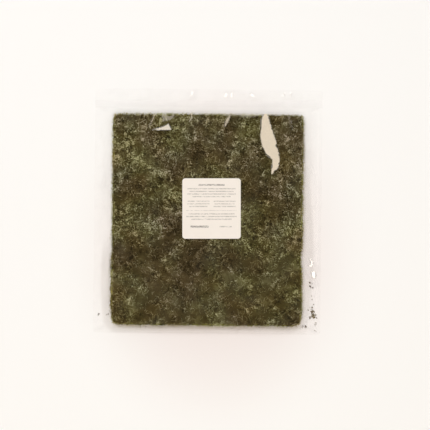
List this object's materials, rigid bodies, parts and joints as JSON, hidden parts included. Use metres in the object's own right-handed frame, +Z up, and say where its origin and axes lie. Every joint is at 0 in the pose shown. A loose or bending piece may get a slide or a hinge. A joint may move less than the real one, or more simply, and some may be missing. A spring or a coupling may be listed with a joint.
{
  "type": "pack of nori sheets",
  "caption": "Flat clear press-to-close film bag that holds a square-cut stack of dried nori sheets, with a square paper label on its front.",
  "frame": {"origin": "the middle of the bag's outline, on the surface that the bag lies on", "axes": "+Z up, out of the labelled front; +Y along the bag's length towards its press-to-close strip; +X to the right when the label is looked at with the strip at the top"},
  "size_m": [0.227, 0.244, 0.009],
  "materials": {
    "film": "clear thin polypropylene film, glossy, lightly creased",
    "nori": "dried pressed seaweed felt, dark olive green, with light and dark strands",
    "label_paper": "matt cream self-adhesive paper with plain grey print bars"
  },
  "bodies": {
    "root": {"bag": "film", "label": "label_paper"}
  },
  "joints": []
}
